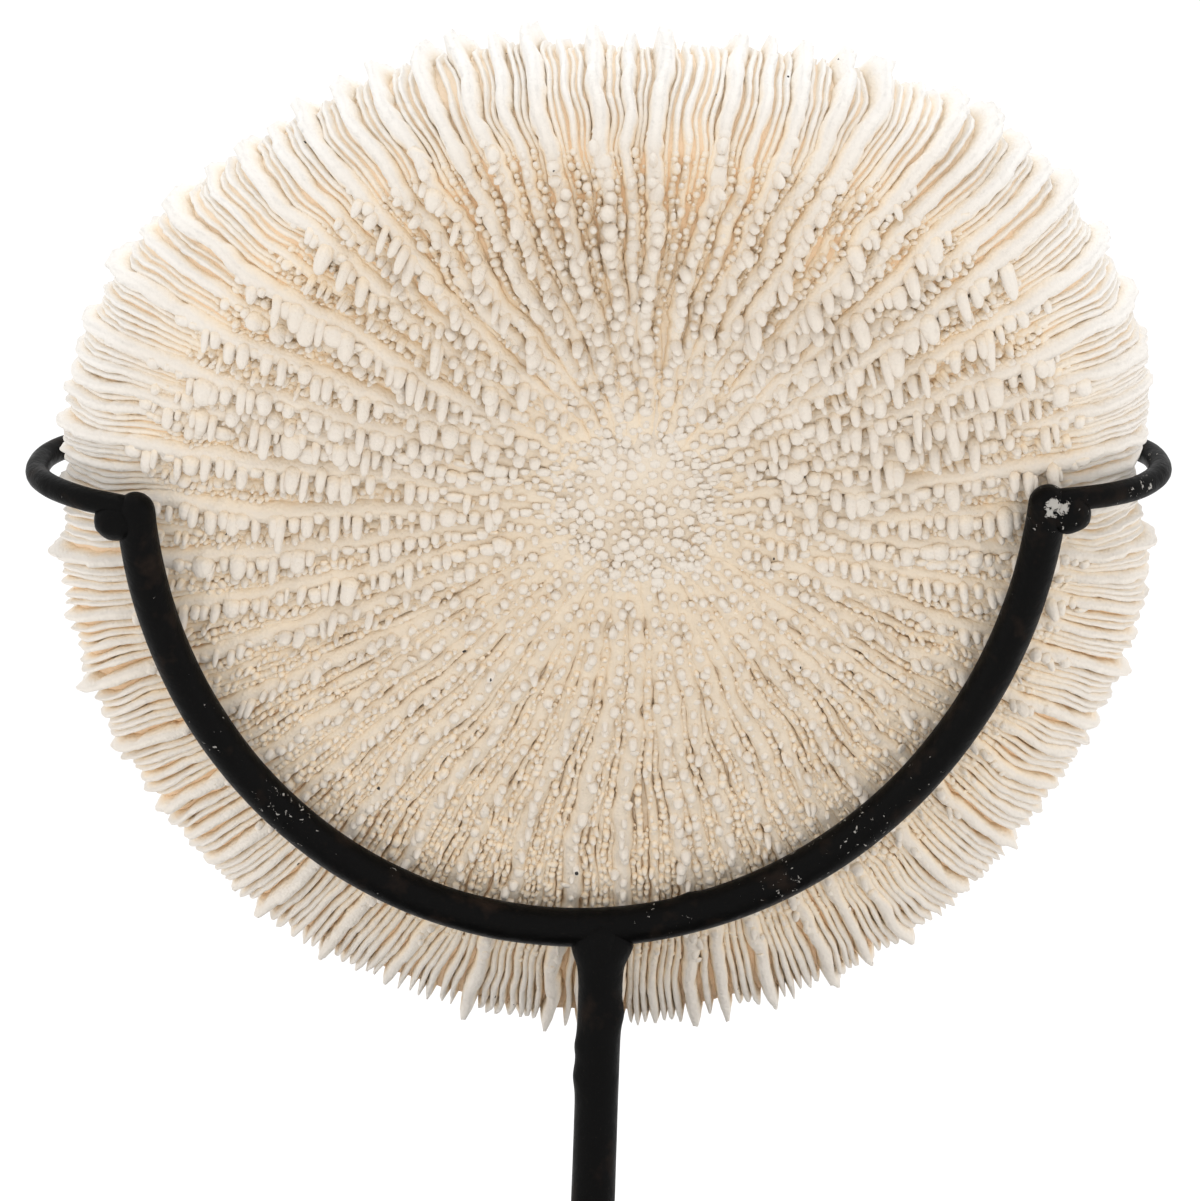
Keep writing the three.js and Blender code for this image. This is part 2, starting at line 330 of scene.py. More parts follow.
def coral_surface(turn, travel, sink):
    """share = sin(travel * 90 degrees) of the rim radius. Underside: back = edge - (belly - sink) *
    sqrt(1 - share^3) + hollow - mound. Dome: back = edge + (rise - sink) * sqrt(1 - share^2.6) + middle - slit."""
    turn, travel, sink = np.broadcast_arrays(turn, travel, sink)
    upper = upper_lobe(turn)
    share = np.sin(np.clip(travel, 0, 2) * math.pi / 2)
    radius = share * (rim_radius(turn) + RIB_REACH - sink)
    across, up = radius * np.cos(turn), radius * np.sin(turn)
    edge, belly, rise = 8 + 2 * upper, 12 + 10 * upper, 21 + 3 * upper
    hollow = (belly - edge - SCAR_FORWARD) * np.exp(-((share / 0.42) ** 2))
    mound = MOUND_HEIGHT * np.exp(-((radius / MOUND_RADIUS) ** 2))
    under = edge - (belly - sink) * np.sqrt(1 - share**3) + hollow - mound
    centre = (DOME_TOP - edge - rise) * np.exp(-((share / 0.5) ** 2))
    slit = MOUTH_DEPTH * np.exp(-((across / MOUTH_LENGTH) ** 2) - (up / MOUTH_WIDTH) ** 2)
    dome = edge + (rise - sink) * np.sqrt(1 - share**2.6) + centre - slit
    return leaning(SCAR, across, up, np.where(travel <= 1, under, dome))


def rib_depth(turn, travel):
    """Depth of the furrows: shallow at the scar, deepest over the rim, and shallow again at the mouth."""
    upper = upper_lobe(turn)
    under = 1.3 + (0.8 + 0.9 * upper) * ease(travel, 0.1, 0.4)
    rim = (0.6 + 0.6 * np.abs(np.sin(turn))) * ease(travel, 0.6, 0.9) * (1 - ease(travel, 1.3, 1.6))
    return under + rim - 1.0 * ease(travel, 1.6, 1.95)


# %% [markdown]
# ## Ribs
#
# The ribs grew in cycles, each new one in the middle of a gap, so their number doubles outwards: main ribs, second
# ribs between them, third, and fourth. There is room for 384, but about a third of the fourth ribs never grew. Each is
# a thin closed tube whose foot is sunk in the body and whose crest rises towards the spine tips. On the underside they
# are low walls. Past BLADE_START they grow into blades, which stay tall over the rim and sink again near the mouth.

# %% Where the ribs run
RIBS = 384
rib_number = np.arange(RIBS)
cycle = np.where(rib_number % 8 == 0, 0, np.where(rib_number % 8 == 4, 1, np.where(rib_number % 4 == 2, 2, 3)))
rng = np.random.default_rng(11)
likely = 0.42 + 0.3 * np.sin(2 * math.pi * rib_number / RIBS)  # bold second ribs are commonest at the top
strong_second = np.where(rng.random(RIBS) < likely, rng.uniform(0.6, 0.95, RIBS), rng.uniform(0.2, 0.4, RIBS))
bold = np.choose(
    cycle, [rng.uniform(0.8, 1.1, RIBS), strong_second, rng.uniform(0.06, 0.18, RIBS), rng.uniform(0, 0.08, RIBS)]
)
missing = (cycle == 3) & (rng.random(RIBS) < 0.35 + 0.5 * (likely - 0.42))  # many gaps never got their last rib
room = np.where(missing, 0.15, 0.9 + 1.7 * bold)  # a thick rib takes more room than a thin one
even_turn = 2 * math.pi * (np.cumsum(room) - room / 2) / room.sum()
circle = np.stack([np.cos(even_turn), np.sin(even_turn), 0 * even_turn], -1)
pitch = 2 * math.pi / RIBS
sway = 0.9 * lumps(circle, 0.23, 21) + rng.uniform(-0.1, 0.1, RIBS)
rib_turn = even_turn - 0.06 * np.cos(even_turn) + pitch * sway
rib_vigour = 1 + rng.normal(0, 0.06, RIBS)
BLADE_START = 0.64  # travel at which walls turn into blades
FIRST_RADIUS = np.array([8.5, 17.0, 30.0, 46.0])  # where each cycle begins, from the scar
LAST_TRAVEL = np.array([1.965, 1.90, 1.72, 1.50])  # and where it ends, towards the mouth
print("ribs of each cycle:", np.bincount(cycle[~missing]))


# %% How a rib wanders, and even steps along it
def wandering(turn, travel):
    """The turn as a rib really runs: level towards the flanks of the upper lobe, and shifted sideways by about a
    millimetre of smooth noise so that neighbouring ribs wander together."""
    bend = 0.12 * np.cos(turn) * ease(np.sin(turn), -0.1, 0.6)
    bend = bend * ease(travel, 0.15, 0.9) * (1 - ease(travel, 1.2, 1.8))
    points = coral_surface(turn, travel, 0.0)
    radius = np.maximum(np.sin(np.clip(travel, 0, 2) * math.pi / 2) * rim_radius(turn), 6.0)
    return turn - bend + (1.2 * lumps(points, 14.0, 31) + 0.6 * lumps(points, 5.0, 32)) / radius


def even_travel(turn, start, stop, steps):
    """For each rib, travel from start to stop at even distances along the surface."""
    share = np.linspace(0, 1, 161)
    travel = start[:, None] + (stop - start)[:, None] * share
    points = coral_surface(turn[:, None], travel, 0.0)
    length = np.cumsum(np.linalg.norm(np.diff(points, axis=1), axis=-1), axis=1)
    length = np.concatenate([np.zeros((len(turn), 1)), length], 1)
    wanted = np.linspace(0, 1, steps)
    rows = [np.interp(wanted, way / way[-1], row) for way, row in zip(length, travel)]
    return np.array(rows), length[:, -1]


def start_travel(ribs):
    """The travel at which each rib's distance from the scar is its cycle's FIRST_RADIUS, with some variation."""
    radius = FIRST_RADIUS[cycle[ribs]] * (1 + 0.12 * lumps(circle[ribs], 0.1, 41))
    return np.arcsin(np.clip(radius / rim_radius(rib_turn[ribs]), 0, 0.99)) * 2 / math.pi


# %% Cross-section of a rib and its run along the surface
SIX_SIDED = ((-1.5, -0.15), (-1.05, 0.62), (-0.58, 1.0), (0.58, 1.0), (1.05, 0.62), (1.5, -0.15))
FOUR_SIDED = ((-1.5, -0.15), (-0.6, 1.0), (0.6, 1.0), (1.5, -0.15))
print("corners of a rib's section:", len(SIX_SIDED), "or", len(FOUR_SIDED))


def wall_height(strong, turn, travel):
    """Height of the walls on the underside, as a share of the furrow depth. Near the scar and below it they are
    lower, so that the ribs are little more than rows of beads."""
    grown = 0.5 + 0.5 * ease(np.sin(np.clip(travel, 0, 1) * math.pi / 2), 0.12, 0.45)
    high = ease(np.sin(turn), -0.6, 0.1)
    return (0.34 - 0.10 * high + (0.32 + 0.22 * high) * strong) * grown


def rib_crest(ribs, turn, travel, length):
    """Crest height and width along each rib. Height is a share of the furrow depth: wall to blade at BLADE_START,
    tapering to nothing at both ends, times slow swells, plus teeth about 1.3 mm apart on the blades. The third
    result, lower, is 1 on the rim of the lower lobe, where the crests are thin and uneven, and 0 elsewhere."""
    strong = bold[ribs][:, None]
    low = 1 - upper_lobe(turn)
    blade = ease(travel, BLADE_START - 0.1, BLADE_START + 0.16)
    tall = 0.48 + 0.62 * strong + 0.22 * low * (1 - strong)
    height = wall_height(strong, turn, travel) * (1 - blade) + tall * blade
    width = (0.68 + 1.3 * strong) * (1 - blade) + (0.72 + 0.14 * low + (1.4 - 0.75 * low) * strong) * blade
    points = coral_surface(turn, travel, 0.0)
    own = points + ribs[:, None, None] * np.array([17.0, 5.0, 29.0])
    height = height * rib_vigour[ribs][:, None] * (1 + 0.13 * lumps(own, 6.0, 51))
    height = height + blade * (0.09 * lumps(own, 1.7, 52) + 0.07 * lumps(own, 0.9, 53)) * (0.7 + 0.5 * strong)
    height = height + blade * 0.13 * lumps(own, 3.6, 57) * strong
    height = height + (1 - blade) * 0.09 * lumps(own, 1.6, 54) * (0.4 + strong)
    width = width * (1 + 0.19 * lumps(own, 1.3, 55) + 0.12 * lumps(own, 6.0, 56))
    along = np.linspace(0, 1, travel.shape[1])[None, :] * length[:, None]
    taper = ease(along, -0.4, 3.5) * ease(length[:, None] - along, -0.4, 5.0)
    lower = low * ease(travel, 0.8, 1.0) * (1 - ease(travel, 1.1, 1.3))
    spiky = 1 + lower * 0.26 * np.random.default_rng(61).uniform(-1, 1, RIBS)[ribs][:, None]
    return height * taper * spiky, width * (0.55 + 0.45 * taper), lower


def crest_hang(turn, travel):
    """How far a crest hangs down the lean, as a share of its height: most on the flanks and the upper lobe."""
    flank = np.abs(np.cos(turn)) ** 1.5
    upper = ease(np.sin(turn), -0.3, 0.6)
    return 0.45 * np.maximum(flank, 0.8 * upper) * ease(travel, 0.1, 0.3) * (1 - ease(travel, 0.55, 0.75))


# %% Ribs as tubes
def rib_tubes(ribs, steps, section):
    """Points and depth numbers of the ribs. Each ring is foot + side * width / 2 * s + rise * height * h, where
    (s, h) are the section's corners, rise runs from the furrow floor to the spine tips, and side is rise x run."""
    travel, length = even_travel(rib_turn[ribs], start_travel(ribs), LAST_TRAVEL[cycle[ribs]], steps)
    turn = wandering(rib_turn[ribs][:, None], travel)
    foot = coral_surface(turn, travel, rib_depth(turn, travel))
    rise = coral_surface(turn, travel, 0.0) - foot
    side = unit(np.cross(rise, np.gradient(foot, axis=1)))
    height, width, lower = rib_crest(ribs, turn, travel, length)
    hang = crest_hang(turn, travel) * height * np.linalg.norm(rise, axis=-1)
    # How far up the colour ramp a crest reaches: low ribs keep the tan of dirt and painted shade.
    crest_level = 0.7 * height + 0.3 + 0.14 * ease(travel, 0.55, 0.8)
    rings, depths = [], []
    for across, up in section:
        sharpen = 1 - lower * (0.8 * (up > 0.9) + 0.25 * (0.6 < up < 0.9))
        shift = side * (across * width * sharpen / 2)[..., None]
        ring = foot + shift + rise * (height * up)[..., None] - UP * (hang * max(up, 0) ** 2)[..., None]
        rings.append(ring)
        depths.append(np.clip(crest_level * up, 0, 1) * ease(height, 0.0, 0.2))
    points = np.stack(rings, 2)
    knobs = 0.30 - 0.14 * ease(travel, BLADE_START - 0.1, BLADE_START + 0.2)
    points = points + (points - points.mean(2, keepdims=True)) * (knobs[..., None] * lumps(points, 1.3, 58))[..., None]
    return points, np.stack(depths, 2), travel


# %% [markdown]
# ## Spines and beads
#
# Spines stand on the crests of the main and second ribs of the underside like fingers, and hang a little downwards.
# Beads sit on the finer ribs and on the mound. Each is a short tube with a round end: a ring's radius is the spine's
# radius times a profile, and its centre lies along the spine's axis. Thousands of them are worked out at once.

# %% Fingers
# Each ring of a profile is a share of the length and a share of the radius.
FINGER = ((-0.16, 0.5), (0.05, 1.2), (0.36, 1.12), (0.68, 0.98), (0.9, 0.72), (1.0, 0.32))
BEAD = ((0.0, 0.85), (0.45, 1.05), (0.8, 0.8), (1.0, 0.34))
print("rings of a spine and of a bead:", len(FINGER), len(BEAD))


def finger_tubes(base, axis, side, radius, length, flatness, profile, around, seed):
    """Rings of points: base + axis * length * l + radius * r * (side * cos a * flatness + across * sin a)."""
    across = unit(np.cross(axis, side))
    side = np.cross(across, axis)
    turn = 2 * math.pi * np.arange(around) / around
    rings = []
    for share, wide in profile:
        spoke = (side[:, None] * (np.cos(turn)[None, :] * flatness[:, None])[..., None]
                 + across[:, None] * np.sin(turn)[None, :, None])
        centre = base + axis * (length * share)[:, None]
        rings.append(centre[:, None] + spoke * (radius * wide)[:, None, None])
    points = np.stack(rings, 1)
    middle_line = points.mean(2, keepdims=True)
    return middle_line + (points - middle_line) * (1 + 0.2 * lumps(points, 0.8, seed)[..., None])


# %% Where spines stand
def spine_places(ribs, spacing, stop, seed):
    """Turn, travel and rib number of spines at about even spacing along the ribs, with some scatter."""
    local = np.random.default_rng(seed)
    turns, travels, numbers = [], [], []
    for rib, start in zip(ribs, start_travel(ribs)):
        fine, length = even_travel(rib_turn[[rib]], np.array([start]), np.array([stop]), 400)
        count = max(2, int(length[0] / spacing))
        share = (np.arange(count) + local.uniform(-0.28, 0.28, count) + 0.4) / count
        travels.append(np.interp(share, np.linspace(0, 1, 400), fine[0]))
        turns.append(np.full(count, rib_turn[rib]))
        numbers.append(np.full(count, rib))
    return np.concatenate(turns), np.concatenate(travels), np.concatenate(numbers)


def upper_side(turn):
    """How much spines hang sideways off their rib: 1 on the flanks and above the scar, 0.15 below it."""
    return 0.15 + 0.85 * ease(np.sin(turn), -0.65, -0.05)


# %% Spines and beads on ribs
def spines_on(ribs, spacing, stop, radius, stand, seed, profile, around, scatter, reach, tilt):
    """Spines on ribs: radius in millimetres, stand the share of the furrow depth that the tips reach, scatter the
    sideways spread in millimetres, reach how high on its wall the foot sits, tilt how far it leans off it. A spine
    points along rise + tilt / 2 * lean - droop * UP + scatter, and ends at stand of the furrow depth."""
    turn, travel, rib = spine_places(ribs, spacing, stop, seed)
    local = np.random.default_rng(seed + 1)
    turn = wandering(turn, travel)
    spread = np.maximum(np.sin(travel * math.pi / 2) * rim_radius(turn), 6.0)
    turn = turn + local.normal(0, scatter, len(turn)) / spread
    depth = rib_depth(turn, travel)
    foot = coral_surface(turn, travel, depth)
    rise = coral_surface(turn, travel, 0.0) - foot
    run = coral_surface(turn, travel + 0.01, depth) - foot
    height = np.linalg.norm(rise, axis=-1)
    side = unit(np.cross(rise, run))
    lean = side * -(side @ UP)[:, None] * upper_side(turn)[:, None]
    lean = lean + side * (local.normal(0, 0.22, len(turn)) * (1 - np.linalg.norm(lean, axis=-1)))[:, None]
    near_start = ease(spread, FIRST_RADIUS[cycle[rib]], FIRST_RADIUS[cycle[rib]] + 13.0)
    fade = (0.55 + 0.45 * near_start) * (1 - 0.35 * ease(travel, stop - 0.1, stop))
    top = stand * fade * (1 + 0.2 * local.normal(0, 1, len(turn)))
    hang = crest_hang(turn, travel)
    flank = 0.35 + 0.65 * np.abs(np.cos(turn))
    droop = 1.1 * tilt * upper_side(turn) * flank * (0.4 + 0.6 * bold[rib])
    axis = rise / height[:, None] + 0.5 * tilt * lean - UP * droop[:, None]
    axis = unit(axis + local.normal(0, 0.16, (len(turn), 3)))
    axis = unit(axis - ACROSS * (0.7 * tilt * upper_side(turn) * axis[:, 0])[:, None])
    wall = wall_height(bold[rib], turn, travel) * reach
    base = foot + rise * wall[:, None] - UP * (hang * height * wall**2)[:, None]
    base = base + lean * (0.3 * tilt * (0.8 + 1.5 * bold[rib]))[:, None]
    length = np.maximum((top - wall) * height, 0.5)
    length = length * (1 + 0.9 * tilt * upper_side(turn) * near_start * flank * bold[rib])
    size = (radius + 0.38 * bold[rib]) * (1 + 0.18 * local.normal(0, 1, len(turn))) * (0.66 + 0.34 * near_start)
    if profile is FINGER:
        size = size * (0.66 + 0.34 * upper_side(turn))
    flat = local.uniform(0.85, 1.2, len(turn)) + 0.5 * (local.random(len(turn)) < 0.2)
    points = finger_tubes(base, axis, unit(run), size, length, flat, profile, around, seed)
    levels = np.array([max(share, 0.0) for share, _ in profile])
    # Colour follows depth: low parts get the tan of dirt and painted shade; bold and near-scar spines are lighter.
    depths = 0.45 * (wall[:, None] + (top - wall)[:, None] * levels[None, :]) + 0.05 + 0.48 * levels[None, :]
    depths = depths + 0.35 * (1 - ease(spread, 8.0, 22.0))[:, None] + 0.3 * bold[rib][:, None]
    return points, np.clip(depths, 0, 1)[..., None], travel


# %% [markdown]
# ## Colour of the coral
#
# Coral is a warm white at the tips and blades, and tan to orange in the furrows and on the flanks: partly dirt that
# stays there, and partly painted shade, with a painted warm glow standing in for the light that real coral lets into
# its creases. Each point carries `depth`, 0 on the furrow floor and 1 at the tips, and the material turns it into
# colour. `rim` makes the crests whiter, a painted highlight: most on the upper rim, where light from above falls,
# little in the belly. A third number paints shade, a duller colour, in the hollow round the scar and below it. Real
# coral lets a little light through. Here it is opaque, because light spread under the skin made the places where ribs
# and body overlap dark. Fine grain is bump.


# %% Node helpers
def new_material(name):
    """An empty node material with its shader and a texture coordinate node."""
    material = bpy.data.materials.new(name)
    material.use_nodes = True
    nodes = material.node_tree.nodes
    shader = nodes["Principled BSDF"]
    coordinates = nodes.new("ShaderNodeTexCoord")
    return material, shader, coordinates.outputs["Object"]


def noise(material, coordinates, size_mm, detail=2.0, roughness=0.5, distortion=0.0):
    """A noise pattern whose lumps are about size_mm across."""
    node = material.node_tree.nodes.new("ShaderNodeTexNoise")
    node.inputs["Scale"].default_value = 1.0 / (size_mm * MM)
    node.inputs["Detail"].default_value = detail
    node.inputs["Roughness"].default_value = roughness
    node.inputs["Distortion"].default_value = distortion
    material.node_tree.links.new(coordinates, node.inputs["Vector"])
    return node.outputs["Fac"]


def ramp(material, value, stops, smooth=False):
    """Colours or greys at places along value."""
    node = material.node_tree.nodes.new("ShaderNodeValToRGB")
    node.color_ramp.interpolation = "EASE" if smooth else "LINEAR"
    elements = node.color_ramp.elements
    while len(elements) < len(stops):
        elements.new(0.5)
    for element, (place, colour) in zip(elements, stops):
        element.position = place
        element.color = (*(colour if hasattr(colour, "__len__") else (colour,) * 3), 1.0)
    material.node_tree.links.new(value, node.inputs["Fac"])
    return node.outputs["Color"]


def mixed(material, share, first, second, kind="MIX"):
    """first blended with second by share; any of them may be a socket or a fixed value."""
    node = material.node_tree.nodes.new("ShaderNodeMix")
    node.data_type = "RGBA"
    node.blend_type = kind
    colour_inputs = [socket for socket in node.inputs if socket.type == "RGBA"]
    for socket, value in ((node.inputs[0], share), (colour_inputs[0], first), (colour_inputs[1], second)):
        if isinstance(value, bpy.types.NodeSocket):
            material.node_tree.links.new(value, socket)
        else:
            socket.default_value = (*value, 1.0) if hasattr(value, "__len__") else value
    return [socket for socket in node.outputs if socket.type == "RGBA"][0]


def sums(material, operation, first, second):
    """A math node on two sockets or numbers."""
    node = material.node_tree.nodes.new("ShaderNodeMath")
    node.operation = operation
    for socket, value in zip(node.inputs, (first, second)):
        if isinstance(value, bpy.types.NodeSocket):
            material.node_tree.links.new(value, socket)
        else:
            socket.default_value = value
    return node.outputs[0]


def attribute(material, name):
    """A number that the mesh carries for each point."""
    node = material.node_tree.nodes.new("ShaderNodeAttribute")
    node.attribute_name = name
    return node.outputs["Fac"]


def bumped(material, shader, height, distance_mm, strength=1.0):
    """Relief from a height pattern."""
    node = material.node_tree.nodes.new("ShaderNodeBump")
    node.inputs["Strength"].default_value = strength
    node.inputs["Distance"].default_value = distance_mm * MM
    material.node_tree.links.new(height, node.inputs["Height"])
    material.node_tree.links.new(node.outputs["Normal"], shader.inputs["Normal"])


# %% Coral material
# Furrow and flank colours: partly dirt, partly painted shade and a painted warm glow in the creases.
FURROW_DIRT_AND_SHADE = (0.85, 0.60, 0.375)
RUSTY = (0.84, 0.54, 0.27)
FLANK_TAN_AND_GLOW = (0.93, 0.765, 0.555)
# Tip colour where the rim's painted highlight is absent.
CREAM = (0.775, 0.70, 0.61)
# A duller colour: painted shade in the hollow round the scar and below it.
HOLLOW_SHADE = (0.74, 0.625, 0.485)
# Chalk and pale are the lit tip and flank colours of the rim: painted highlight.
CHALK_LIT = (0.905, 0.88, 0.845)
PALE_LIT = (0.96, 0.87, 0.74)
SPECK = (0.035, 0.03, 0.028)


def coral_material():
    """Colour runs from the furrow floor to the tips along depth + 0.3 * (grain - 0.5): the tan low down is partly dirt
    and partly painted shade, with a painted warm glow on the flanks. Whiter on the rim, a painted highlight; browner in
    stained patches; duller in the hollow round the scar, painted shade. Specks of dirt lie near the middle of about a
    third of the cells."""
    material, shader, place = new_material("coral skeleton")
    link = material.node_tree.links.new
    depth = attribute(material, "depth")
    rim = attribute(material, "rim")
    cloud = noise(material, place, 9.0, 3.0, 0.6)
    grain = noise(material, place, 0.8, 3.0, 0.6)
    level = sums(material, "ADD", depth, sums(material, "MULTIPLY", sums(material, "SUBTRACT", grain, 0.5), 0.3))
    # Painted highlight: tips go from cream to chalk where rim is high, towards the top where light falls.
    tips = mixed(material, rim, CREAM, CHALK_LIT)
    # Furrow floor to flank: tan partly from dirt, partly painted shade and painted glow.
    floor_colour = mixed(material, ramp(material, cloud, [(0.52, 0.0), (0.72, 0.8)]), FURROW_DIRT_AND_SHADE, RUSTY)
    low_part = mixed(material, ramp(material, level, [(0.0, 0.0), (0.35, 1.0)]), floor_colour, FLANK_TAN_AND_GLOW)
    # Painted highlight: low parts lighten towards pale on the lit rim.
    low_part = mixed(material, sums(material, "MULTIPLY", rim, 0.72), low_part, PALE_LIT)
    colour = mixed(material, ramp(material, level, [(0.38, 0.0), (0.90, 1.0)]), low_part, tips)
    # Painted shade: duller in the hollow round the scar and below it.
    colour = mixed(material, attribute(material, "hollow_shade"), colour, HOLLOW_SHADE)
    cells = material.node_tree.nodes.new("ShaderNodeTexVoronoi")
    cells.inputs["Scale"].default_value = 1.0 / (5.5 * MM)
    link(place, cells.inputs["Vector"])
    ragged = sums(material, "MULTIPLY", sums(material, "SUBTRACT", grain, 0.5), 0.16)
    near = sums(material, "LESS_THAN", sums(material, "ADD", cells.outputs["Distance"], ragged), 0.045)
    chosen = sums(material, "GREATER_THAN", sums(material, "ADD", cells.outputs["Color"], 0.0), 0.62)
    colour = mixed(material, sums(material, "MULTIPLY", near, chosen), colour, SPECK)
    link(colour, shader.inputs["Base Color"])
    link(ramp(material, grain, [(0.3, 0.62), (0.7, 0.85)]), shader.inputs["Roughness"])
    shader.inputs["Specular IOR Level"].default_value = 0.35
    granules = material.node_tree.nodes.new("ShaderNodeTexVoronoi")
    granules.inputs["Scale"].default_value = 1.0 / (0.5 * MM)
    link(place, granules.inputs["Vector"])
    grains = sums(material, "SUBTRACT", noise(material, place, 0.4, 3.0, 0.6), granules.outputs["Distance"])
    bumped(material, shader, grains, 0.09)
    return material


coral_skeleton = coral_material()
print("coral material nodes:", len(coral_skeleton.node_tree.nodes))


# %% Numbers that the colour reads
def rim_painted_highlight(points, travel):
    """How white the crests are, a painted highlight: most on the upper rim and on the dome, where light from above
    falls, least in the belly.
    """
    high = ease((points - SCAR) @ UP, -30.0, 45.0)
    rim = ease(travel, 0.5, 0.95)
    return np.clip(rim * (0.3 + 0.7 * high) + 0.12 * lumps(points, 12.0, 71), 0.0, 1.0)


def hollow_shade_share(points, travel):
    """Painted shade in the hollow round the scar: most on and below the mound, nothing once the walls are close."""
    below = ease((SCAR - points) @ UP, -22.0, 6.0)
    return 0.9 * (1 - ease(travel, 0.3, 0.66)) * (0.35 + 0.65 * below)


# %% [markdown]
# ## Body, ribs, spines and beads
#
# The body is the furrow floor: one tube from the scar over the rim to the mouth. The ribs go on it by cycle, one
# piece for each, then the spines on the first two cycles and the beads on the others and on the mound.

# %% Body
BODY_ROUND, BODY_RINGS = 384, 60
body_turn = np.linspace(0, 2 * math.pi, BODY_ROUND, endpoint=False)[None, :]
body_travel = np.linspace(0.004, 1.996, BODY_RINGS)[:, None]
body_low = ease(-np.sin(body_turn), -0.1, 0.5)
body_sink = 0.81 + 0.14 * body_low - (0.13 - 0.07 * body_low) * ease(body_travel, 0.6, 0.85)
body = coral_surface(body_turn, body_travel, body_sink * rib_depth(body_turn, body_travel))[None]
body = body + unit(body - body.mean((1, 2))) * 0.25 * lumps(body, 2.0, 81)[..., None]
body_travel = np.broadcast_to(body_travel, body.shape[1:3])[None]
tubes_piece(
    "coral_body", body, coral_skeleton,
    {"depth": 0.86 * (1 - ease(body_travel, 0.14, 0.55)), "rim": rim_painted_highlight(body, body_travel),
     "hollow_shade": hollow_shade_share(body, body_travel)}, stands_for=("coral",),
)


# %% Ribs
def rib_piece(name, kind, steps, section):
    """All ribs of one cycle as one piece."""
    ribs = rib_number[(cycle == kind) & ~missing]
    points, depth, travel = rib_tubes(ribs, steps, section)
    travel = travel[..., None]
    numbers = {"depth": depth, "rim": rim_painted_highlight(points, travel), "hollow_shade": 0.8 * hollow_shade_share(points, travel)}
    return tubes_piece(name, points, coral_skeleton, numbers)


rib_piece("coral_main_ribs", 0, 250, SIX_SIDED)
rib_piece("coral_second_ribs", 1, 230, SIX_SIDED)
rib_piece("coral_third_ribs", 2, 160, FOUR_SIDED)
rib_piece("coral_fourth_ribs", 3, 112, FOUR_SIDED)


# %% Spines
def gathered(name, groups):
    """Several groups of equally built fingers as one piece."""
    points = np.concatenate([group[0] for group in groups])
    depth = np.concatenate([np.broadcast_to(group[1], group[0].shape[:3]) for group in groups])
    travel = np.concatenate([group[2] for group in groups])[:, None, None]
    numbers = {"depth": depth, "rim": rim_painted_highlight(points, travel)}
    return tubes_piece(name, points, coral_skeleton, numbers)


main_ribs, second_ribs, third_ribs, fourth_ribs = (rib_number[(cycle == kind) & ~missing] for kind in range(4))
main_spines = spines_on(main_ribs, 1.7, BLADE_START + 0.06, 0.34, 1.10, 101, FINGER, 8, 0.3, 0.75, 1.0)
second_spines = spines_on(second_ribs, 1.5, BLADE_START + 0.04, 0.34, 0.80, 103, FINGER, 8, 0.15, 0.6, 0.8)
gathered("coral_main_spines", [main_spines])
gathered("coral_second_spines", [second_spines])

# %% Beads
BEAD_SIDES = 6


def mound_beads(count, spread, seed):
    """Beads on the scar, set like seeds in a sunflower head: each is turned by the golden angle from the last."""
    local = np.random.default_rng(seed)
    number = np.arange(count) + 0.5
    turn = np.mod(number * math.pi * (3 - math.sqrt(5)) + local.normal(0, 0.05, count), 2 * math.pi)
    radius = spread * np.sqrt(number / count)
    travel = np.arcsin(radius / rim_radius(turn)) * 2 / math.pi
    foot = coral_surface(turn, travel, rib_depth(turn, travel))
    rise = coral_surface(turn, travel, 0.0) - foot
    axis = unit(rise + local.normal(0, 0.15, (count, 3)))
    length = np.linalg.norm(rise, axis=-1) * local.uniform(0.38, 0.62, count)
    size = local.uniform(0.45, 1.0, count)
    upright = np.broadcast_to(UP, axis.shape)
    points = finger_tubes(foot, axis, upright, size, length, np.ones(count), BEAD, BEAD_SIDES, seed)
    levels = np.array([share for share, _ in BEAD])
    return points, np.broadcast_to(0.6 + 0.4 * levels[None, :, None], (count, len(BEAD), 1)), travel


gathered("coral_beads", [
    spines_on(third_ribs, 1.15, BLADE_START + 0.02, 0.46, 0.62, 105, BEAD, BEAD_SIDES, 0.1, 0.3, 0.4),
    mound_beads(190, 13.0, 109),
])
gathered("coral_fine_beads", [
    spines_on(fourth_ribs, 1.05, BLADE_START + 0.02, 0.38, 0.55, 107, BEAD, BEAD_SIDES, 0.08, 0.3, 0.4),
])

# %% [markdown]
# ## The stand
#
# The stand is round rod, bent, welded, ground a little and painted black. A rod is one ring of points carried along
# its path; the ring swells and shrinks slightly, as hand-worked rod does.


# %% Rods
def rod_rings(path, radius, around, swell, seed, level):
    """Rings along a path: centre + radius * (1 + swell * lumps) * (side * cos a + up * sin a). Side is run x
    level, so level must be a direction the path never takes."""
    run = unit(np.gradient(path, axis=0))
    side = unit(np.cross(run, level))
    up = np.cross(side, run)
    turn = 2 * math.pi * np.arange(around) / around
    spoke = side[:, None] * np.cos(turn)[None, :, None] + up[:, None] * np.sin(turn)[None, :, None]
    points = path[:, None] + spoke * radius
    points = path[:, None] + spoke * radius * (1 + swell * lumps(points, 6.0, seed))[..., None]
    return points


